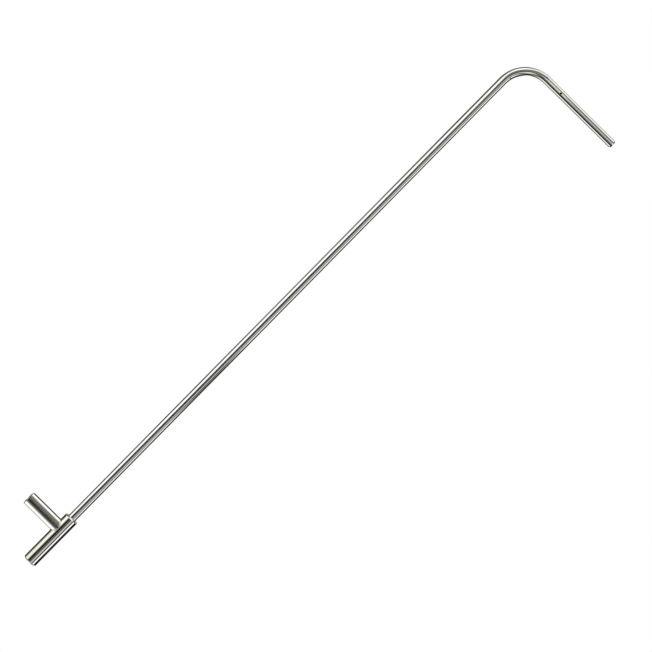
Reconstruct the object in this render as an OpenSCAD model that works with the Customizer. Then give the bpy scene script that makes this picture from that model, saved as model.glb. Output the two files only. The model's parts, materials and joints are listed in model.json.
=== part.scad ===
// Cane bolt: a round bar with a bent handle that slides and turns in a pipe guide,
// and a pipe stub welded square to the guide, which fastens it to a gate.
// Origin: centre of the stub's far end. +Z runs up the bar, +X from the stub to the bar.

/* [Bar] */
// Diameter of the round bar
bar_d = 12.7; // [10:0.1:13.2]
// Height of the bar, from its tip to the crest of the bend
bar_h = 1000; // [600:5:1200]
// Reach of the handle, from the bar's axis to the handle's end
handle_reach = 174; // [110:1:250]
// Radius of the bend, on the bar's centreline
bend_r = 44; // [30:1:80]
// Chamfer on both ends of the bar
bar_chamfer = 2.2; // [0.5:0.1:2.5]

/* [Pipe] */
// Outer diameter of the pipe that the sleeve and the stub are cut from
pipe_d = 21.3; // [20:0.1:27]
// Bore of the same pipe
pipe_bore = 13.9; // [13.6:0.1:16]
// Chamfer on the outside of the pipe's ends
pipe_chamfer = 1.5; // [0.4:0.1:1.5]
// Chamfer on the inside of the pipe's ends
bore_chamfer = 0.8; // [0.2:0.1:1]

/* [Guide] */
// Length of the sleeve
sleeve_l = 85.5; // [60:0.5:150]
// Height of the stub's axis above the sleeve's lower end
stub_h = 63; // [20:1:70]
// Reach of the stub, from the bar's axis to the stub's far end
stub_reach = 64; // [40:1:120]

/* [Weld] */
// Distance from the bar's axis at which the tips of the stub's coped end are cut off
cope_tip = 4.2; // [3.6:0.1:6]
// Radius of the weld bead
bead_r = 0.9; // [0.9:0.1:2]
// Gap between the stub's coped end and the sleeve, which the bead covers
root_gap = 0.3; // [0.1:0.05:0.5]

/* [Hidden] */

$fn = 96;
// The thin weld bead needs rounder cutters than the rest
fine_fn = 360;
bar_r = bar_d / 2;
pipe_r = pipe_d / 2;
sleeve_z = -stub_h;
bend_z = sleeve_z + bar_h - bar_r - bend_r;
shank_l = bend_z - sleeve_z;
leg_l = handle_reach - bend_r;

// The coped end is trimmed to an arc that runs from its tips back to the pipe's full width
tip_sagitta = pipe_r - cope_tip;
tip_arc_r = (pipe_r * pipe_r + tip_sagitta * tip_sagitta) / (2 * tip_sagitta);
tip_arc_x = stub_reach - cope_tip - tip_arc_r;

// The stub's bore flares slightly at the coped end, from just short of the sleeve
flare_gap = 0.35;
flare = 2.2;

// The weld bead's path has this many stations, and its section this many sides
bead_steps = 72;
bead_sides = 14;
steel = [0.78, 0.78, 0.74];

// A solid round bar along +Z, with a chamfer on its lower end
module chamfered_bar(r, l, chamfer) {
    rotate_extrude()
        polygon([[0, 0], [r - chamfer, 0], [r, chamfer], [r, l], [0, l]]);
}

// A length of pipe along +Z. low and high are the chamfers at its ends:
// [outside, how far the inside one widens the bore, how deep the inside one goes]
module pipe(l, low, high) {
    bore_r = pipe_bore / 2;
    rotate_extrude()
        polygon([
            [bore_r + low[1], 0],
            [pipe_r - low[0], 0],
            [pipe_r, low[0]],
            [pipe_r, l - high[0]],
            [pipe_r - high[0], l],
            [bore_r + high[1], l],
            [bore_r, l - high[2]],
            [bore_r, low[2]]
        ]);
}

// Moves a piece from the Z axis to the bar's axis
module on_bar_axis(z) {
    translate([stub_reach, 0, z]) children();
}

// The space that the sleeve fills, bore included, widened by a gap
module sleeve_envelope(gap = 0) {
    on_bar_axis(sleeve_z) cylinder(r = pipe_r + gap, h = sleeve_l, $fn = fine_fn);
}

// Everything on the stub's side of the arc that trims its coped end
module cope_limit() {
    translate([tip_arc_x, 0, 0])
        rotate([90, 0, 0])
            cylinder(r = tip_arc_r, h = 2 * pipe_d, center = true, $fn = fine_fn);
    translate([-1, -pipe_d, -tip_arc_r])
        cube([tip_arc_x + 1, 2 * pipe_d, 2 * tip_arc_r]);
}

// How far the stub's end stays from the bar's axis, at the height z above the stub's axis
function cope_edge(z) =
    max(abs(z), cope_tip + tip_arc_r - sqrt(max(0, tip_arc_r * tip_arc_r - z * z)));

// A point of the weld's root, on the sleeve's surface, at the angle a round the stub
function bead_point(a) =
    let (z = pipe_r * sin(a))
    let (edge = min(pipe_r, cope_edge(z)))
    let (depth = sqrt(max(0, pipe_r * pipe_r - edge * edge)))
    [stub_reach - edge, cos(a) < 0 ? -depth : depth, z];

function unit(v) = v / norm(v);

// The section of the bead at the angle a: a circle square to the path
function bead_ring(a) =
    let (step = 180 / bead_steps)
    let (along = unit(bead_point(a + step) - bead_point(a - step)))
    let (out = unit([0, cos(a), sin(a)] - ([0, cos(a), sin(a)] * along) * along))
    let (side = cross(along, out))
    [for (k = [0 : bead_sides - 1])
        let (b = 360 * k / bead_sides)
        bead_point(a) + bead_r * (cos(b) * out + sin(b) * side)];

// The closed tube swept along the weld's root
module bead_tube() {
    points = [for (i = [0 : bead_steps - 1]) each bead_ring(360 * i / bead_steps)];
    faces = [
        for (i = [0 : bead_steps - 1], k = [0 : bead_sides - 1])
            let (j = (i + 1) % bead_steps, m = (k + 1) % bead_sides)
            [i * bead_sides + k, i * bead_sides + m, j * bead_sides + m, j * bead_sides + k]
    ];
    polyhedron(points = points, faces = faces, convexity = 6);
}

// Lays a piece from the Z axis along the stub, and copes its end to the sleeve
module coped(gap) {
    difference() {
        intersection() {
            rotate([0, 90, 0]) children();
            cope_limit();
        }
        sleeve_envelope(gap);
    }
}

module guide_sleeve() {
    end = [pipe_chamfer, bore_chamfer, bore_chamfer];
    color(steel) on_bar_axis(sleeve_z) pipe(sleeve_l, end, end);
}

module mounting_stub() {
    far_end = [pipe_chamfer, 0, 0];
    coped_end = [0, flare, pipe_r + flare_gap];
    color(steel) coped(root_gap) pipe(stub_reach, far_end, coped_end);
}

module weld_bead() {
    color(steel)
        difference() {
            bead_tube();
            sleeve_envelope();
            coped(0) cylinder(r = pipe_r, h = stub_reach, $fn = fine_fn);
        }
}

// The straight part of the bar, from its tip to where the bend starts
module bar_shank() {
    color(steel) on_bar_axis(sleeve_z) chamfered_bar(bar_r, shank_l, bar_chamfer);
}

// The bent top of the same bar: a quarter turn and the handle's straight leg
module cane_handle() {
    color(steel) on_bar_axis(bend_z) {
        translate([bend_r, 0, 0])
            rotate([90, 0, 0])
                rotate([0, 0, 90])
                    rotate_extrude(angle = 90) translate([bend_r, 0]) circle(r = bar_r);
        translate([handle_reach, 0, bend_r])
            rotate([0, -90, 0]) chamfered_bar(bar_r, leg_l, bar_chamfer);
    }
}

guide_sleeve();
mounting_stub();
weld_bead();
bar_shank();
cane_handle();
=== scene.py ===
"""Cane bolt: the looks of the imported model, in its own frame, in metres.

The guide is a sleeve and a mounting stub of the same pipe, joined by a weld bead. The bar that
slides and turns in it is one piece of steel, which the frame holds as a shank and a cane handle.
"""

import json
import math

import bpy
from mathutils import Matrix, Vector


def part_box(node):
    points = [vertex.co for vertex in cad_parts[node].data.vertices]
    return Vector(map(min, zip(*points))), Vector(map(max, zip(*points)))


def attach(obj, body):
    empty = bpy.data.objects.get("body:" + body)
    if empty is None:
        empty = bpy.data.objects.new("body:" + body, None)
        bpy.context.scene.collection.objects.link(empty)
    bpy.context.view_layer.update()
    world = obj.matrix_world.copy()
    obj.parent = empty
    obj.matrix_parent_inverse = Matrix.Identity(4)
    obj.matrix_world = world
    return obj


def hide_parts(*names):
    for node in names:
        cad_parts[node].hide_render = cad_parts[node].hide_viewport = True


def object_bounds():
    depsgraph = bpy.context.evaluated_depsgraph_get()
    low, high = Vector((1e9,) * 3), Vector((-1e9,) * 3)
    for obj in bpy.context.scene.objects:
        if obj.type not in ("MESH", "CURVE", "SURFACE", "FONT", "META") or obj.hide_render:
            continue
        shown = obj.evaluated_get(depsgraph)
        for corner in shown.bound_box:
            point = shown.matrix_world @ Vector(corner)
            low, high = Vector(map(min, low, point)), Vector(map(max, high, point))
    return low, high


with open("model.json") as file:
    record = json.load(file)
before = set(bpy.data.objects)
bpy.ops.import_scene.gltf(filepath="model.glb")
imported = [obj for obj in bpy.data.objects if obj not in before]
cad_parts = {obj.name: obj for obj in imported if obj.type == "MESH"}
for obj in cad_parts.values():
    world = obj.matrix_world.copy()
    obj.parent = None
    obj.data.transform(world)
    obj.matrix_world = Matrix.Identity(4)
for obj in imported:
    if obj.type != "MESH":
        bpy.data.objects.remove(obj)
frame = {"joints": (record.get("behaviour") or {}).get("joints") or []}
cad_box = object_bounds()

X_AXIS = Vector((1, 0, 0))
Y_AXIS = Vector((0, 1, 0))
Z_AXIS = Vector((0, 0, 1))
MM = 0.001

# ---------------------------------------------------------------- sizes, from the frame
sleeve_low, sleeve_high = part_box("guide_sleeve")
stub_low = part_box("mounting_stub")[0]
shank_low, shank_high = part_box("bar_shank")
cane_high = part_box("cane_handle")[1]

AXIS_X = (shank_low.x + shank_high.x) / 2
BAR_R = (shank_high.x - shank_low.x) / 2
PIPE_R = (sleeve_high.x - sleeve_low.x) / 2
STUB_X = stub_low.x
BEND_Z = shank_high.z
BEND_R = cane_high.z - BAR_R - BEND_Z
LEG_Z = BEND_Z + BEND_R

# Details of the pieces that a box doesn't tell
BORE_R = 6.95 * MM
BAR_CHAMFER = 2.2 * MM
PIPE_CHAMFER = 1.5 * MM
BORE_CHAMFER = 0.8 * MM
EDGE_R = 0.3 * MM
FLARE = 2.2 * MM
FLARE_X = AXIS_X - PIPE_R - 0.35 * MM
ROOT_GAP = 0.3 * MM
COPE_TIP = 4.2 * MM
TIP_SAGITTA = PIPE_R - COPE_TIP
TIP_ARC_R = (PIPE_R ** 2 + TIP_SAGITTA ** 2) / (2 * TIP_SAGITTA)
TIP_ARC_X = AXIS_X - COPE_TIP - TIP_ARC_R
BEAD_R = 0.9 * MM
# The ripples round the weld, and their depth as a share of the bead's radius
BEAD_RIPPLES = 62
RIPPLE_DEPTH = 0.02
# Between the shank and the cane, which are one bar, so that their end faces don't rub
SEAM_GAP = 0.005 * MM

# How finely the meshes are divided
ROUND = 128
BEND_STEPS = 96
EDGE_STEPS = 5
COPE_STEPS = 6
BEAD_STEPS = 620
BEAD_ARC_STEPS = 16
RING_PITCH = 12 * MM
STUB_STEPS = math.ceil((AXIS_X - PIPE_R - STUB_X) / RING_PITCH)
# How closely the bore's end and the bead's toes are searched for
BORE_PASSES = 4
CREST_TRIALS = 48
BISECTIONS = 24
# A rounded corner takes at most this share of the edge on either side of it
CORNER_SHARE = 0.45
ON_AXIS = 1e-9


# ---------------------------------------------------------------- mesh building
def build_piece(name, points, normals, round_faces, flat_faces=(), stock=None):
    """A mesh object, with its round faces shaded smooth and its flat faces shaded flat.

    normals are the exact normals of the surface at the points, if they are known. stock is the
    place of each point on the straight bar or pipe that the piece is made from.
    """
    mesh = bpy.data.meshes.new(name)
    mesh.from_pydata(points, [], list(round_faces) + list(flat_faces))
    mesh.shade_smooth()
    for face in mesh.polygons[len(round_faces):]:
        face.use_smooth = False
    if normals is not None:
        corners = []
        for face in mesh.polygons:
            if face.index < len(round_faces):
                corners += [normals[i] for i in face.vertices]
            else:
                corners += [face.normal.copy()] * face.loop_total
        mesh.normals_split_custom_set(corners)
    attribute = mesh.attributes.new("stock", "FLOAT_VECTOR", "POINT")
    attribute.data.foreach_set("vector", [c for p in (stock or points) for c in p])
    piece = bpy.data.objects.new(name, mesh)
    bpy.context.scene.collection.objects.link(piece)
    return piece


def rounded(corners, radius, closed):
    """Points (s, r) of an outline with its corners rounded, each with its normal (ns, nr).

    The outline runs along the outside towards +s, so that its left side is the outside.
    """
    out = []
    for i, corner in enumerate(corners):
        here = Vector(corner)
        if not closed and i in (0, len(corners) - 1):
            step = Vector(corners[1]) - here if i == 0 else here - Vector(corners[-2])
            step.normalize()
            out.append((here, Vector((-step.y, step.x))))
            continue
        before = here - Vector(corners[i - 1])
        after = Vector(corners[(i + 1) % len(corners)]) - here
        limit = CORNER_SHARE * min(before.length, after.length)
        before.normalize()
        after.normalize()
        normal_in = Vector((-before.y, before.x))
        normal_out = Vector((-after.y, after.x))
        turn = before.angle_signed(after)
        reach = min(abs(radius * math.tan(turn / 2)), limit)
        arc_r = math.copysign(reach / math.tan(abs(turn) / 2), turn)
        centre = here - reach * before - arc_r * normal_in
        for k in range(EDGE_STEPS + 1):
            normal = normal_in.slerp(normal_out, k / EDGE_STEPS)
            out.append((centre + arc_r * normal, normal))
    return out


def evenly_divided(outline, pitch):
    """The same outline with extra points along its long straight stretches."""
    out = [outline[0]]
    for (a, na), (b, nb) in zip(outline, outline[1:]):
        count = math.ceil((b - a).length / pitch)
        for k in range(1, count):
            out.append((a.lerp(b, k / count), na.lerp(nb, k / count).normalized()))
        out.append((b, nb))
    return out


def straight_stations(outline, start, along, side):
    """Stations of a solid turned about a straight line."""
    return [(start + p.x * along, along, side, p.y, n, p.x) for p, n in outline]


def sweep(name, stations, closed, flat_start=False, flat_end=False):
    """A solid of round sections along a path.

    A station is (centre, along, side, radius, normal (ns, nr), length along the stock). With
    closed, the last station joins the first, as on a pipe. Otherwise both ends close in a
    point, and flat_start or flat_end gives the cap there a hard edge.
    """
    points, normals, stock, rings = [], [], [], []
    for centre, along, side, radius, normal, length in stations:
        across = along.cross(side)
        if radius < ON_AXIS:
            rings.append([len(points)])
            points.append(centre)
            normals.append(along * math.copysign(1, normal.x))
            stock.append(Vector((0, 0, length)))
            continue
        rings.append(list(range(len(points), len(points) + ROUND)))
        for i in range(ROUND):
            angle = math.tau * i / ROUND
            out = math.cos(angle) * side + math.sin(angle) * across
            points.append(centre + radius * out)
            normals.append((normal.x * along + normal.y * out).normalized())
            stock.append(Vector((radius * math.cos(angle), radius * math.sin(angle), length)))
    pairs = list(zip(rings, rings[1:]))
    if closed:
        pairs.append((rings[-1], rings[0]))
    round_faces, flat_faces = [], []
    for k, (low, high) in enumerate(pairs):
        flat = (flat_start and k == 0) or (flat_end and k == len(pairs) - 1)
        faces = flat_faces if flat else round_faces
        for i in range(ROUND):
            j = (i + 1) % ROUND
            if len(low) == 1:
                faces.append((low[0], high[j], high[i]))
            elif len(high) == 1:
                faces.append((low[i], low[j], high[0]))
            else:
                faces.append((low[i], low[j], high[j], high[i]))
    return build_piece(name, points, normals, round_faces, flat_faces, stock)


# ---------------------------------------------------------------- the pieces
def make_shank():
    """The straight part of the bar, with a chamfered tip, up to a hair's breadth below the cane."""
    length = BEND_Z - SEAM_GAP - shank_low.z
    corners = [(0, 0), (0, BAR_R - BAR_CHAMFER), (BAR_CHAMFER, BAR_R), (length, BAR_R)]
    outline = evenly_divided(rounded(corners, EDGE_R, closed=False), RING_PITCH)
    outline.append((Vector((length, 0)), Vector((1, 0))))
    start = Vector((AXIS_X, 0, shank_low.z))
    stations = straight_stations(outline, start, Z_AXIS, Y_AXIS)
    return sweep("shank_bar", stations, closed=False, flat_end=True)


def make_cane():
    """The bent top of the same bar: a quarter turn, then the handle with a chamfered end."""
    stations = []
    stock_start = BEND_Z - shank_low.z
    centre = Vector((AXIS_X + BEND_R, 0, BEND_Z))
    outward = Vector((0, 1))
    for k in range(BEND_STEPS + 1):
        angle = math.pi / 2 * k / BEND_STEPS
        out = Vector((-math.cos(angle), 0, math.sin(angle)))
        along = Vector((math.sin(angle), 0, math.cos(angle)))
        stock = stock_start + BEND_R * angle
        stations.append((centre + BEND_R * out, along, Y_AXIS, BAR_R, outward, stock))
    stations.insert(0, (stations[0][0], Z_AXIS, Y_AXIS, 0.0, Vector((-1, 0)), stock_start))
    leg = cane_high.x - centre.x
    corners = [(0, BAR_R), (leg - BAR_CHAMFER, BAR_R), (leg, BAR_R - BAR_CHAMFER), (leg, 0)]
    outline = evenly_divided(rounded(corners, EDGE_R, closed=False), RING_PITCH)[1:]
    leg_start = stock_start + BEND_R * math.pi / 2
    for point, normal in outline:
        place = Vector((centre.x + point.x, 0, LEG_Z))
        stations.append((place, X_AXIS, Y_AXIS, point.y, normal, leg_start + point.x))
    return sweep("handle_bar", stations, closed=False, flat_start=True)


def make_sleeve():
    """The pipe that the bar slides and turns in, chamfered inside and out at both ends."""
    length = sleeve_high.z - sleeve_low.z
    corners = [
        (0, PIPE_R - PIPE_CHAMFER),
        (PIPE_CHAMFER, PIPE_R),
        (length - PIPE_CHAMFER, PIPE_R),
        (length, PIPE_R - PIPE_CHAMFER),
        (length, BORE_R + BORE_CHAMFER),
        (length - BORE_CHAMFER, BORE_R),
        (BORE_CHAMFER, BORE_R),
        (0, BORE_R + BORE_CHAMFER),
    ]
    outline = evenly_divided(rounded(corners, EDGE_R, closed=True), RING_PITCH)
    start = Vector((AXIS_X, 0, sleeve_low.z))
    return sweep("sleeve_pipe", straight_stations(outline, start, Z_AXIS, Y_AXIS), closed=True)


def tip_arc_x(z):
    """Where the arc that trims the tips of the stub's coped end is, at one height."""
    return TIP_ARC_X + math.sqrt(max(0.0, TIP_ARC_R ** 2 - z * z))


def cope_x(y, z, gap):
    """Where the stub's coped end stops: at the sleeve, or at the arc that trims its tips."""
    reach = (PIPE_R + gap) ** 2 - y * y
    if reach <= 0:
        return tip_arc_x(z)
    return min(tip_arc_x(z), AXIS_X - math.sqrt(reach))


def bore_radius(x):
    """Radius of the stub's bore, which flares towards the coped end."""
    return BORE_R + FLARE * max(0.0, x - FLARE_X) / (AXIS_X - FLARE_X)


def coped_point(angle, radius):
    """The point of the coped end at one angle round the stub, on a wall of that radius."""
    y, z = radius * math.cos(angle), radius * math.sin(angle)
    return Vector((cope_x(y, z, ROOT_GAP), y, z))


def stub_column(angle, outline):
    """One lengthwise column of the stub's mesh: (point, normal), round the whole wall."""
    out = Vector((0, math.cos(angle), math.sin(angle)))
    column = [
        (Vector((p.x, 0, 0)) + p.y * out, n.x * X_AXIS + n.y * out) for p, n in outline
    ]
    outer = coped_point(angle, PIPE_R)
    inner = coped_point(angle, BORE_R)
    for _ in range(BORE_PASSES):
        inner = coped_point(angle, bore_radius(inner.x))
    inner_r = bore_radius(inner.x)
    first = outline[-1][0].x
    for k in range(1, STUB_STEPS + 1):
        x = first + (outer.x - first) * k / STUB_STEPS
        column.append((out * PIPE_R + X_AXIS * x, out))
    for k in range(1, COPE_STEPS + 1):
        radius = PIPE_R + (inner_r - PIPE_R) * k / COPE_STEPS
        column.append((coped_point(angle, radius), X_AXIS))
    column.append((out * BORE_R + X_AXIS * FLARE_X, -out))
    for k in range(STUB_STEPS - 1, 0, -1):
        x = STUB_X + (FLARE_X - STUB_X) * k / STUB_STEPS
        column.append((out * BORE_R + X_AXIS * x, -out))
    return column


def make_stub():
    """The pipe stub: a square, chamfered far end, and an end coped to the sleeve."""
    corners = [
        (STUB_X + EDGE_R, BORE_R),
        (STUB_X, BORE_R),
        (STUB_X, PIPE_R - PIPE_CHAMFER),
        (STUB_X + PIPE_CHAMFER, PIPE_R),
        (STUB_X + 2 * PIPE_CHAMFER, PIPE_R),
    ]
    outline = rounded(corners, EDGE_R, closed=False)
    columns = [stub_column(math.tau * i / ROUND, outline) for i in range(ROUND)]
    count = len(columns[0])
    points = [point for column in columns for point, _ in column]
    normals = [normal.normalized() for column in columns for _, normal in column]
    stock = [Vector((p.y, p.z, p.x)) for p in points]
    cope_first = len(outline) + STUB_STEPS - 1
    cope = range(cope_first, cope_first + COPE_STEPS)
    round_faces, flat_faces = [], []
    for i in range(ROUND):
        low, high = i * count, (i + 1) % ROUND * count
        for k in range(count):
            m = (k + 1) % count
            faces = flat_faces if k in cope else round_faces
            faces.append((low + k, high + k, high + m, low + m))
    return build_piece("stub_pipe", points, normals, round_faces, flat_faces, stock)


def root_point(angle):
    """The point of the weld's root on the sleeve, at one angle round the stub."""
    z = PIPE_R * math.sin(angle)
    edge = min(PIPE_R, max(abs(z), AXIS_X - tip_arc_x(z)))
    depth = math.sqrt(max(0.0, PIPE_R ** 2 - edge ** 2))
    return Vector((AXIS_X - edge, math.copysign(depth, math.cos(angle)), z))


def clear_of_pipes(point):
    """True for a point outside both the sleeve and the stub."""
    if math.hypot(point.x - AXIS_X, point.y) < PIPE_R:
        return False
    return math.hypot(point.y, point.z) > PIPE_R or point.x > cope_x(point.y, point.z, 0.0)


def toe(surface, clear, hidden):
    """The turn at which the bead's surface enters a pipe, between a clear one and a hidden one."""
    for _ in range(BISECTIONS):
        middle = (clear + hidden) / 2
        if clear_of_pipes(surface(middle)):
            clear = middle
        else:
            hidden = middle
    return clear


def bead_section(angle):
    """One section of the bead: an arc from toe to toe, clear of the pipes, and then its root."""
    step = math.tau / BEAD_STEPS
    centre = root_point(angle)
    along = (root_point(angle + step) - root_point(angle - step)).normalized()
    out = Vector((0, math.cos(angle), math.sin(angle)))
    out = (out - out.dot(along) * along).normalized()
    side = along.cross(out)

    def surface(turn, radius=BEAD_R):
        return centre + radius * (math.cos(turn) * out + math.sin(turn) * side)

    turns = [math.tau * k / CREST_TRIALS for k in range(CREST_TRIALS)]
    clear = [turn for turn in turns if clear_of_pipes(surface(turn))]
    crest = math.atan2(sum(map(math.sin, clear)), sum(map(math.cos, clear)))
    first = toe(surface, crest, crest - math.pi)
    last = toe(surface, crest, crest + math.pi)
    section = []
    for k in range(BEAD_ARC_STEPS + 1):
        turn = first + (last - first) * k / BEAD_ARC_STEPS
        ripple = 0.5 - 0.5 * math.cos(BEAD_RIPPLES * angle + math.cos(turn - crest))
        section.append(surface(turn, BEAD_R * (1 - RIPPLE_DEPTH * ripple)))
    return section + [centre]


def make_bead():
    """The weld bead round the stub's coped end, with the low ripples of a dressed weld."""
    sections = [bead_section(math.tau * (i + 0.5) / BEAD_STEPS) for i in range(BEAD_STEPS)]
    count = len(sections[0])
    seen_faces, hidden_faces = [], []
    for i in range(BEAD_STEPS):
        low, high = i * count, (i + 1) % BEAD_STEPS * count
        for k in range(count):
            m = (k + 1) % count
            faces = seen_faces if k < BEAD_ARC_STEPS else hidden_faces
            faces.append((low + k, low + m, high + m, high + k))
    points = [point for section in sections for point in section]
    return build_piece("weld_ring", points, None, seen_faces, hidden_faces)


# ---------------------------------------------------------------- materials
class Nodes:
    """Short ways to add and join shader nodes."""

    def __init__(self, tree):
        self.tree = tree
        self.tree.nodes.clear()

    def add(self, kind, **settings):
        node = self.tree.nodes.new(kind)
        for name, value in settings.items():
            setattr(node, name, value)
        return node

    def put(self, socket, value):
        """Joins a node's output to a socket, or sets the socket to a plain value."""
        if isinstance(value, bpy.types.NodeSocket):
            self.tree.links.new(value, socket)
        else:
            socket.default_value = value

    def math(self, operation, *values, clamp=False):
        node = self.add("ShaderNodeMath", operation=operation, use_clamp=clamp)
        for socket, value in zip(node.inputs, values):
            self.put(socket, value)
        return node.outputs[0]

    def vector(self, operation, *values):
        node = self.add("ShaderNodeVectorMath", operation=operation)
        for socket, value in zip(node.inputs, values):
            self.put(socket, value)
        return node.outputs[0]

    def noise(self, vector, scale, detail=2.0, roughness=0.5):
        node = self.add("ShaderNodeTexNoise")
        self.put(node.inputs["Vector"], vector)
        node.inputs["Scale"].default_value = scale
        node.inputs["Detail"].default_value = detail
        node.inputs["Roughness"].default_value = roughness
        return node.outputs["Fac"]

    def span(self, value, low, high, to_low, to_high):
        """Maps low..high to to_low..to_high, held at the ends."""
        node = self.add("ShaderNodeMapRange")
        for name, x in (("Value", value), ("From Min", low), ("From Max", high)):
            self.put(node.inputs[name], x)
        self.put(node.inputs["To Min"], to_low)
        self.put(node.inputs["To Max"], to_high)
        return node.outputs["Result"]

    def mix_colour(self, factor, a, b):
        node = self.add("ShaderNodeMix", data_type="RGBA")
        self.put(node.inputs["Factor"], factor)
        for socket, value in zip(node.inputs[6:8], (a, b)):
            self.put(socket, value if isinstance(value, bpy.types.NodeSocket) else (*value, 1))
        return node.outputs[2]


# The sizes of the finish: its fine lines or grain along x, y and z of the stock, how many times
# larger its broad lines are, and its clouds and specks to the metre
DRAWN = (0.25 * MM, 0.25 * MM, 60 * MM)
TURNED = (8 * MM, 8 * MM, 0.2 * MM)
WELDED = (0.8 * MM, 0.8 * MM, 0.8 * MM)
BROADER = 6.0
CLOUDS = 34.0
SPECKS = 900.0
# How much of the colour, the roughness and the bumps comes from the lines, and not from the
# clouds or the specks
LINES_IN_COLOUR = 0.55
LINES_IN_ROUGHNESS = 0.5
LINES_IN_BUMPS = 0.8
# The parts of the noise over which the colour and the roughness run from one end to the other
COLOUR_SPAN = (0.38, 0.62)
ROUGHNESS_SPAN = (0.35, 0.65)
# The painted reflection on the front of the handle, a small dark dot for something dark that it
# mirrors: its size, how far it is from the bend, and its angle round the bar from the +Y side
PAINTED_REFLECTION_R = 1.6 * MM
PAINTED_REFLECTION_EDGE = 0.4 * MM
PAINTED_REFLECTION_FROM_BEND = 27 * MM
PAINTED_REFLECTION_ANGLE = math.radians(186)
PAINTED_REFLECTION_COLOUR = (0.008, 0.0075, 0.007)
PAINTED_REFLECTION_ROUGHNESS = 0.6


def blend(n, a, b, share_of_a):
    """Two values mixed, with a share of the first."""
    return n.math("ADD", n.math("MULTIPLY", a, share_of_a), n.math("MULTIPLY", b, 1 - share_of_a))


def steel(name, light, dark, lines, roughness, depth, painted_reflection=None):
    """Polished steel with fine lines, whose colour and roughness vary between two values.

    lines is the size of a line along x, y and z of the stock, so a long z gives lines drawn
    along the bar, and a short z gives lines turned round the pipe. depth is the height of the
    lines. The last argument is the place on the stock of a painted reflection: a small dark dot
    painted into the colour where the steel would mirror something dark.
    """
    material = bpy.data.materials.new(name)
    material.use_nodes = True
    n = Nodes(material.node_tree)
    place = n.add("ShaderNodeAttribute", attribute_name="stock").outputs["Vector"]
    stretched = n.vector("DIVIDE", place, lines)
    fine = n.noise(stretched, 1.0, detail=3.0)
    broad = n.noise(n.vector("DIVIDE", stretched, (BROADER,) * 3), 1.0, detail=2.0)
    cloud = n.noise(place, CLOUDS, detail=3.0, roughness=0.6)
    specks = n.noise(place, SPECKS, detail=2.0)
    worn = n.span(blend(n, broad, cloud, LINES_IN_COLOUR), *COLOUR_SPAN, 0.0, 1.0)
    colour = n.mix_colour(worn, dark, light)
    rough = n.span(blend(n, fine, cloud, LINES_IN_ROUGHNESS), *ROUGHNESS_SPAN, *roughness)
    # A painted reflection: a small dark dot painted into the colour and roughness, for something
    # dark mirrored in the steel
    if painted_reflection is not None:
        distance = n.add("ShaderNodeVectorMath", operation="DISTANCE")
        n.put(distance.inputs[0], place)
        distance.inputs[1].default_value = painted_reflection
        on_painted_reflection = n.span(distance.outputs["Value"], PAINTED_REFLECTION_R - PAINTED_REFLECTION_EDGE, PAINTED_REFLECTION_R, 1.0, 0.0)
        colour = n.mix_colour(on_painted_reflection, colour, PAINTED_REFLECTION_COLOUR)
        rough = n.math("MAXIMUM", rough, n.math("MULTIPLY", on_painted_reflection, PAINTED_REFLECTION_ROUGHNESS))
    bump = n.add("ShaderNodeBump")
    bump.inputs["Strength"].default_value = 1.0
    bump.inputs["Distance"].default_value = depth
    n.put(bump.inputs["Height"], blend(n, fine, specks, LINES_IN_BUMPS))
    shader = n.add("ShaderNodeBsdfPrincipled")
    shader.inputs["Metallic"].default_value = 1.0
    n.put(shader.inputs["Base Color"], colour)
    n.put(shader.inputs["Roughness"], rough)
    n.put(shader.inputs["Normal"], bump.outputs["Normal"])
    output = n.add("ShaderNodeOutputMaterial")
    n.put(output.inputs["Surface"], shader.outputs["BSDF"])
    return material


def drawn_steel():
    """The bar's steel: nearly a mirror, with fine lines along it and one painted reflection, a
    small dark dot in its colour.
    """
    # Where the painted reflection sits on the handle: a dark dot that stands in for something dark
    # mirrored there
    painted_reflection = (
        BAR_R * math.cos(PAINTED_REFLECTION_ANGLE),
        BAR_R * math.sin(PAINTED_REFLECTION_ANGLE),
        BEND_Z - shank_low.z + BEND_R * math.pi / 2 + PAINTED_REFLECTION_FROM_BEND,
    )
    return steel(
        "drawn_steel",
        light=(0.80, 0.79, 0.765),
        dark=(0.75, 0.745, 0.71),
        lines=DRAWN,
        roughness=(0.01, 0.05),
        depth=1e-4 * MM,
        painted_reflection=painted_reflection,
    )


def turned_steel():
    """The steel of the sleeve and the stub, with fine lines turned round the pipe."""
    return steel(
        "turned_steel",
        light=(0.80, 0.79, 0.76),
        dark=(0.75, 0.74, 0.70),
        lines=TURNED,
        roughness=(0.05, 0.09),
        depth=1.2e-4 * MM,
    )


def dressed_weld():
    """The weld's steel: brushed over, and a little duller and more uneven than the pipes."""
    return steel(
        "dressed_weld",
        light=(0.78, 0.77, 0.74),
        dark=(0.70, 0.685, 0.64),
        lines=WELDED,
        roughness=(0.08, 0.18),
        depth=4e-3 * MM,
    )


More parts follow.
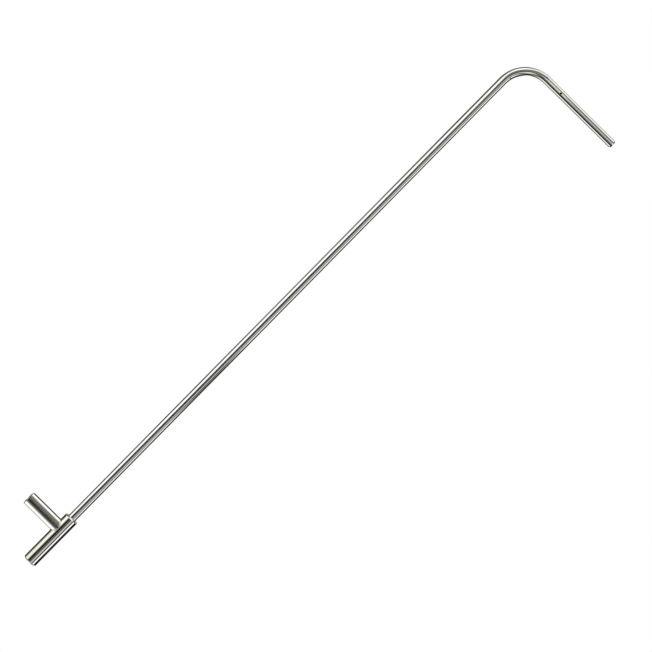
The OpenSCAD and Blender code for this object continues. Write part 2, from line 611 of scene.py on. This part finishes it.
# ---------------------------------------------------------------- studio
# What the polished steel mirrors: a tent of panels round the bolt. A panel spans (from, to)
# degrees away from straight out to the front and has a brightness, 1 for a display's white;
# from one panel to the next the brightness runs over evenly. The panels to the left stand on
# the stub's side and those to the right on the handle's.
LEFT = [(0, 15, 0.03), (38, 60, 1.12), (74, 80, 0.86), (102, 140, 0.18), (176, 180, 0.90)]
RIGHT = [
    (0, 12, 0.02),
    (33, 45, 0.80),
    (51, 60, 0.00),
    (68, 89, 1.02),
    (98, 160, 0.00),
    (178, 180, 0.90),
]
UP = [(0, 14, 0.30), (34, 60, 0.45), (86, 108, 1.12), (120, 138, 0.16), (170, 180, 0.85)]
UP_AT_HANDLE = [
    (0, 18, 0.69),
    (33, 46, 0.33),
    (62, 94, 0.97),
    (110, 132, 0.62),
    (152, 180, 0.88),
]
DOWN = [
    (0, 4, 0.28),
    (9, 15, 0.14),
    (22, 33, 0.31),
    (69, 94, 1.12),
    (107, 140, 0.74),
    (160, 180, 0.88),
]
DOWN_AT_HANDLE = [
    (0, 6, 0.68),
    (22, 30, 0.44),
    (45, 64, 0.06),
    (80, 98, 1.02),
    (113, 136, 0.38),
    (162, 180, 0.88),
]
# The panels in the corners between two sides
UPPER_LEFT = [(0, 2, 0.55), (8, 26, 0.05), (48, 70, 1.08), (98, 122, 0.30), (150, 180, 0.88)]
LOWER_RIGHT = [(0, 4, 0.62), (16, 42, 0.95), (84, 106, 0.08), (137, 180, 0.95)]
OTHER_CORNERS = [(0, 40, 0.40), (58, 72, 0.90), (84, 150, 0.06), (172, 180, 0.88)]
# The brightness that a panel's full colour stands for, the display's gamma, and the share of
# the light that the steel reflects
BRIGHTEST = 1.3
DISPLAY_GAMMA = 2.2
REFLECTED = 0.78
# The strength of the even light that falls on what isn't a mirror
SOFT_LIGHT = 0.85
# The edges of the side panels lean: a degree up moves them this many degrees to the front
LEFT_LEAN = 1.0
RIGHT_LEAN = -0.4
LEAN_LIMIT = 12
# Towards the front, the panels above and below the handle span this part of the direction's
# X; further back they reach as far as the side panels, apart from the part over the stub
HANDLE_SPAN = (-0.008, 0.044)
STUB_SPAN = (-0.060, -0.018)
SOFT_EDGE = 0.008
HANDLE_BACK = (30, 50)
CORNERS_BACK = (14, 34)
# Pale backdrops stand far back in the two corners that the bend doesn't mirror: where they
# begin, in degrees from the front, in rise and in the direction's X
BACKDROP_BACK = (118, 128)
BACKDROP_RISE = (13, 22)
BACKDROP_X = (0.46, 0.56)
BACKDROP_LEVEL = 0.86
# The left panels are dimmer and cream towards the ground
CREAM_RISE = (-12, -8)
CREAM_DIM = 0.90
# A dim sheet to the right and a pale one to the left, far round, both a little below eye level:
# spans of rise and of degrees from the front, width of the soft edges, change of brightness
DIM_SHEET = ((-4.4, -3.2), (62, 140), (1.2, 6.0), -0.50)
PALE_SHEET = ((-1.0, 4.0), (112, 140), (3.0, 12.0), 0.30)
# A small cream card that the handle mirrors beside the bend: its spans of X and of Z
CARD_X = (-0.0073, 0.0065)
CARD_Z = (-0.20, 0.45)
CARD_EDGE = (0.0008, 0.04)
CARD_LEVEL = 0.86
# Keeps the shares of the sides from dividing by nothing straight ahead
SMALLEST_SPREAD = 1e-6
# The tints of dark, middling, pale and cream panels
DARK_TINT = (1.03, 1.0, 0.92)
MIDDLE_TINT = (0.995, 1.0, 0.955)
PALE_TINT = (1.0, 1.0, 1.0)
CREAM_TINT = (0.99, 1.0, 0.93)


def tinted(level, tint=None):
    """The display's colour of a panel: dark ones brown, middling ones olive, pale ones white."""
    if tint is None:
        low, high = (DARK_TINT, MIDDLE_TINT) if level < 0.5 else (MIDDLE_TINT, PALE_TINT)
        share = min(1.0, 2 * level if level < 0.5 else 2 * level - 1)
        tint = [a + (b - a) * share for a, b in zip(low, high)]
    return (*[min(1.0, level / BRIGHTEST * t) for t in tint], 1.0)


def reflected_ramp(n, degrees, panels):
    """The colour of one side of the tent, over the angle from the front."""
    node = n.add("ShaderNodeValToRGB")
    n.put(node.inputs["Fac"], n.math("DIVIDE", degrees, 180.0))
    stops = [(angle / 180, level) for low, high, level in panels for angle in (low, high)]
    elements = node.color_ramp.elements
    while len(elements) < len(stops):
        elements.new(0.5)
    for element, (position, level) in zip(elements, stops):
        element.position = position
    for element, (position, level) in zip(elements, stops):
        element.color = tinted(level)
    return node.outputs["Color"]


def scaled(n, colour, factor):
    """A colour times a number."""
    node = n.add("ShaderNodeVectorMath", operation="SCALE")
    n.put(node.inputs[0], colour)
    n.put(node.inputs["Scale"], factor)
    return node.outputs[0]


def window(n, value, low, high, edge):
    """1 where a value is from low to high, with a soft edge on both sides."""
    inside = n.span(value, low - edge, low, 0.0, 1.0)
    return n.math("MULTIPLY", inside, n.span(value, high, high + edge, 1.0, 0.0))


def sheet(n, rise, front, rise_span, front_span, edges, change):
    """A sheet in front of one side of the tent.

    It gives the brightness that a pale sheet adds, or the share that a dim one leaves.
    """
    part = n.math(
        "MULTIPLY",
        window(n, rise, *rise_span, edges[0]),
        window(n, front, *front_span, edges[1]),
    )
    return n.math("ADD", n.math("MULTIPLY", part, change), 1.0 if change < 0 else 0.0)


def ends_of_the_tent(n, x, front, near):
    """The colours of the panels above and below, at the handle and away from it."""
    over_stub = window(n, x, *STUB_SPAN, SOFT_EDGE)
    far = n.math("SUBTRACT", n.span(front, *HANDLE_BACK, 0.0, 1.0), over_stub, clamp=True)
    handle = n.math("MAXIMUM", near, far)
    return [
        n.mix_colour(handle, reflected_ramp(n, front, away), reflected_ramp(n, front, at_handle))
        for away, at_handle in ((UP, UP_AT_HANDLE), (DOWN, DOWN_AT_HANDLE))
    ]


def sides_of_the_tent(n, rise, front):
    """The colours of the panels to the left and to the right."""
    low_rise = n.math("MINIMUM", n.math("MAXIMUM", rise, -LEAN_LIMIT), LEAN_LIMIT)
    left_angle = n.math("ADD", front, n.math("MULTIPLY", low_rise, LEFT_LEAN))
    right_angle = n.math("ADD", front, n.math("MULTIPLY", low_rise, RIGHT_LEAN))
    cream = tuple(CREAM_DIM * c for c in CREAM_TINT)
    left = n.vector(
        "MULTIPLY",
        reflected_ramp(n, left_angle, LEFT),
        n.mix_colour(n.span(rise, *CREAM_RISE, 1.0, 0.0), (1.0, 1.0, 1.0), cream),
    )
    left = n.vector("ADD", left, sheet(n, rise, front, *PALE_SHEET))
    right = scaled(n, reflected_ramp(n, right_angle, RIGHT), sheet(n, rise, front, *DIM_SHEET))
    return left, right


def product(n, *factors):
    """Several values multiplied."""
    total = factors[0]
    for factor in factors[1:]:
        total = n.math("MULTIPLY", total, factor)
    return total


def studio_colour(n):
    """The display's colour of the studio, in the direction that a mirrored ray takes."""
    direction = n.add("ShaderNodeTexCoord").outputs["Generated"]
    split = n.add("ShaderNodeSeparateXYZ")
    n.put(split.inputs[0], direction)
    x, y, z = split.outputs
    to_degrees = 180 / math.pi
    front = n.math("MULTIPLY", n.math("ARCCOSINE", n.math("MULTIPLY", y, -1.0)), to_degrees)
    rise = n.math("MULTIPLY", n.math("ARCSINE", z), to_degrees)

    # Only the panels above and below are mirrored within the handle's span
    near = window(n, x, *HANDLE_SPAN, SOFT_EDGE)
    sideways = n.math("MULTIPLY", x, n.math("SUBTRACT", 1.0, near))
    spread = n.math("ADD", n.math("MULTIPLY", sideways, sideways), n.math("MULTIPLY", z, z))
    spread = n.math("MAXIMUM", spread, SMALLEST_SPREAD)

    def share(value, sign):
        """How much of a side there is in the direction."""
        part = n.math("MAXIMUM", n.math("MULTIPLY", value, sign), 0.0)
        return n.math("DIVIDE", n.math("MULTIPLY", part, part), spread)

    up, down = ends_of_the_tent(n, x, front, near)
    left, right = sides_of_the_tent(n, rise, front)
    total = scaled(n, left, share(sideways, -1.0))
    for colour, part in (
        (right, share(sideways, 1.0)),
        (up, share(z, 1.0)),
        (down, share(z, -1.0)),
    ):
        total = n.vector("ADD", total, scaled(n, colour, part))

    # The corners between the sides
    aside = n.math("DIVIDE", n.math("MULTIPLY", sideways, sideways), spread)
    diagonal = product(n, aside, n.math("SUBTRACT", 1.0, aside), 4.0)
    diagonal = product(n, diagonal, diagonal, n.span(front, *CORNERS_BACK, 0.0, 1.0))
    bend_corner = n.mix_colour(
        n.math("LESS_THAN", x, 0.0),
        reflected_ramp(n, front, LOWER_RIGHT),
        reflected_ramp(n, front, UPPER_LEFT),
    )
    in_bend_corner = n.math("LESS_THAN", n.math("MULTIPLY", x, z), 0.0)
    corner = n.mix_colour(in_bend_corner, reflected_ramp(n, front, OTHER_CORNERS), bend_corner)
    total = n.mix_colour(diagonal, total, corner)

    backdrop = product(
        n,
        n.span(front, *BACKDROP_BACK, 0.0, 1.0),
        n.span(n.math("ABSOLUTE", rise), *BACKDROP_RISE, 0.0, 1.0),
        n.span(n.math("ABSOLUTE", x), *BACKDROP_X, 0.0, 1.0),
        n.math("SUBTRACT", 1.0, in_bend_corner),
    )
    total = n.mix_colour(backdrop, total, tinted(BACKDROP_LEVEL)[:3])
    card = product(
        n,
        window(n, x, *CARD_X, CARD_EDGE[0]),
        window(n, z, *CARD_Z, CARD_EDGE[1]),
        n.math("LESS_THAN", y, 0.0),
    )
    return n.mix_colour(card, total, tinted(CARD_LEVEL, CREAM_TINT)[:3])


def background(n, colour, strength):
    """A light from all round."""
    node = n.add("ShaderNodeBackground")
    n.put(node.inputs["Color"], colour)
    node.inputs["Strength"].default_value = strength
    return node.outputs[0]


def mixed_shader(n, factor, a, b):
    """Two shaders mixed, from all of the first at 0 to all of the second at 1."""
    node = n.add("ShaderNodeMixShader")
    n.put(node.inputs["Fac"], factor)
    n.put(node.inputs[1], a)
    n.put(node.inputs[2], b)
    return node.outputs[0]


def make_world():
    """White to the camera, soft light on the floor, and the studio's panels in the steel."""
    world = bpy.data.worlds.new("studio")
    bpy.context.scene.world = world
    world.use_nodes = True
    n = Nodes(world.node_tree)
    light = n.vector("POWER", studio_colour(n), (DISPLAY_GAMMA,) * 3)
    mirrored = background(n, light, BRIGHTEST ** DISPLAY_GAMMA / REFLECTED)
    soft = background(n, (1, 1, 1, 1), SOFT_LIGHT)
    white = background(n, (1, 1, 1, 1), 1.0)
    path = n.add("ShaderNodeLightPath")
    lit = mixed_shader(n, path.outputs["Is Glossy Ray"], soft, mirrored)
    seen = mixed_shader(n, path.outputs["Is Camera Ray"], lit, white)
    output = n.add("ShaderNodeOutputWorld")
    n.put(output.inputs["Surface"], seen)


# ---------------------------------------------------------------- floor, lamp and camera
FLOOR_R = 1.3
FLOOR_GAP = 20 * MM
# The floor fades to white between these shares of its radius
FLOOR_FADE = (0.35, 0.95)
FLOOR_COLOURS = ((0.86, 0.86, 0.85), (0.88, 0.88, 0.87))
FLOOR_GRAIN = 60.0
FLOOR_ROUGHNESS = 0.8
DROP = max(joint["range_m"][1] for joint in frame["joints"] if joint["type"] == "slide")


def make_floor():
    """A plain pale disc just below the bar's lowest reach, which fades to white at its rim."""
    mesh = bpy.data.meshes.new("floor")
    centre = Vector((AXIS_X, 0, cad_box[0].z - DROP - FLOOR_GAP))
    rim = [
        centre + FLOOR_R * Vector((math.cos(a), math.sin(a), 0))
        for a in (math.tau * i / ROUND for i in range(ROUND))
    ]
    mesh.from_pydata(rim, [], [tuple(range(ROUND))])
    floor = bpy.data.objects.new("floor", mesh)
    bpy.context.scene.collection.objects.link(floor)
    material = bpy.data.materials.new("pale_floor")
    material.use_nodes = True
    n = Nodes(material.node_tree)
    place = n.add("ShaderNodeTexCoord").outputs["Object"]
    away = n.add("ShaderNodeVectorMath", operation="DISTANCE")
    n.put(away.inputs[0], place)
    away.inputs[1].default_value = centre
    fade_from, fade_to = (part * FLOOR_R for part in FLOOR_FADE)
    fade = n.span(away.outputs["Value"], fade_from, fade_to, 0.0, 1.0)
    grain = n.noise(place, FLOOR_GRAIN, detail=4.0)
    matt = n.add("ShaderNodeBsdfPrincipled")
    n.put(matt.inputs["Base Color"], n.mix_colour(grain, *FLOOR_COLOURS))
    matt.inputs["Roughness"].default_value = FLOOR_ROUGHNESS
    matt.inputs["Specular IOR Level"].default_value = 0.0
    glow = n.add("ShaderNodeEmission")
    output = n.add("ShaderNodeOutputMaterial")
    n.put(output.inputs["Surface"], mixed_shader(n, fade, matt.outputs[0], glow.outputs[0]))
    mesh.materials.append(material)
    floor.visible_glossy = False


LAMP_SIZE = 1.6
LAMP_HEIGHT = 1.2
LAMP_POWER = 18


def make_lamp():
    """A soft overhead light, which gives the bolt its faint shadow on the floor."""
    data = bpy.data.lights.new("softbox", "AREA")
    data.size = LAMP_SIZE
    data.energy = LAMP_POWER
    lamp = bpy.data.objects.new("softbox", data)
    lamp.location = (AXIS_X, 0, cad_box[1].z + LAMP_HEIGHT)
    lamp.visible_glossy = False
    lamp.visible_camera = False
    bpy.context.scene.collection.objects.link(lamp)


CAMERA_LENS = 101.95
CAMERA_SENSOR = 36
CAMERA_DISTANCE = 2.600
# The camera looks along +Y, turned so that the bar runs up to the right at this angle
BAR_ANGLE = math.radians(45.44)
# From the middle of the model's box to the point that the camera looks at, along X and Z
AIM_OFFSET = (0.0100, 0.0288)


def make_camera():
    """The camera, square to the plane of the stub, the bar and the handle."""
    data = bpy.data.cameras.new("camera")
    data.lens = CAMERA_LENS
    data.sensor_width = CAMERA_SENSOR
    camera = bpy.data.objects.new("camera", data)
    middle = (cad_box[0] + cad_box[1]) / 2
    roll = math.pi / 2 - BAR_ANGLE
    right = Vector((math.cos(roll), 0, math.sin(roll)))
    up = Vector((-math.sin(roll), 0, math.cos(roll)))
    turned = Matrix((right, up, -Y_AXIS)).transposed()
    place = Vector((middle.x + AIM_OFFSET[0], -CAMERA_DISTANCE, middle.z + AIM_OFFSET[1]))
    camera.matrix_world = Matrix.Translation(place) @ turned.to_4x4()
    bpy.context.scene.collection.objects.link(camera)
    bpy.context.scene.camera = camera


# ---------------------------------------------------------------- putting it together
FINISHES = {"bar": drawn_steel, "pipe": turned_steel, "weld": dressed_weld}
# How a piece is made, the node it replaces, and its body, slot and finish
PIECES = [
    (make_sleeve, "guide_sleeve", "guide", "guide_steel", "pipe"),
    (make_stub, "mounting_stub", "guide", "stub_steel", "pipe"),
    (make_bead, "weld_bead", "guide", "weld_steel", "weld"),
    (make_shank, "bar_shank", "shank", "bar_steel", "bar"),
    (make_cane, "cane_handle", "cane", "bar_steel", "bar"),
]


def main():
    """Builds the five pieces of the bolt, and then the studio, the floor and the camera."""
    materials = {finish: make_material() for finish, make_material in FINISHES.items()}
    for make, node, body, slot, finish in PIECES:
        piece = make()
        piece.data.materials.append(materials[finish])
        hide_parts(node)
        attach(piece, body)
    make_world()
    make_floor()
    make_lamp()
    make_camera()
    bpy.context.scene.view_settings.view_transform = "Standard"


main()
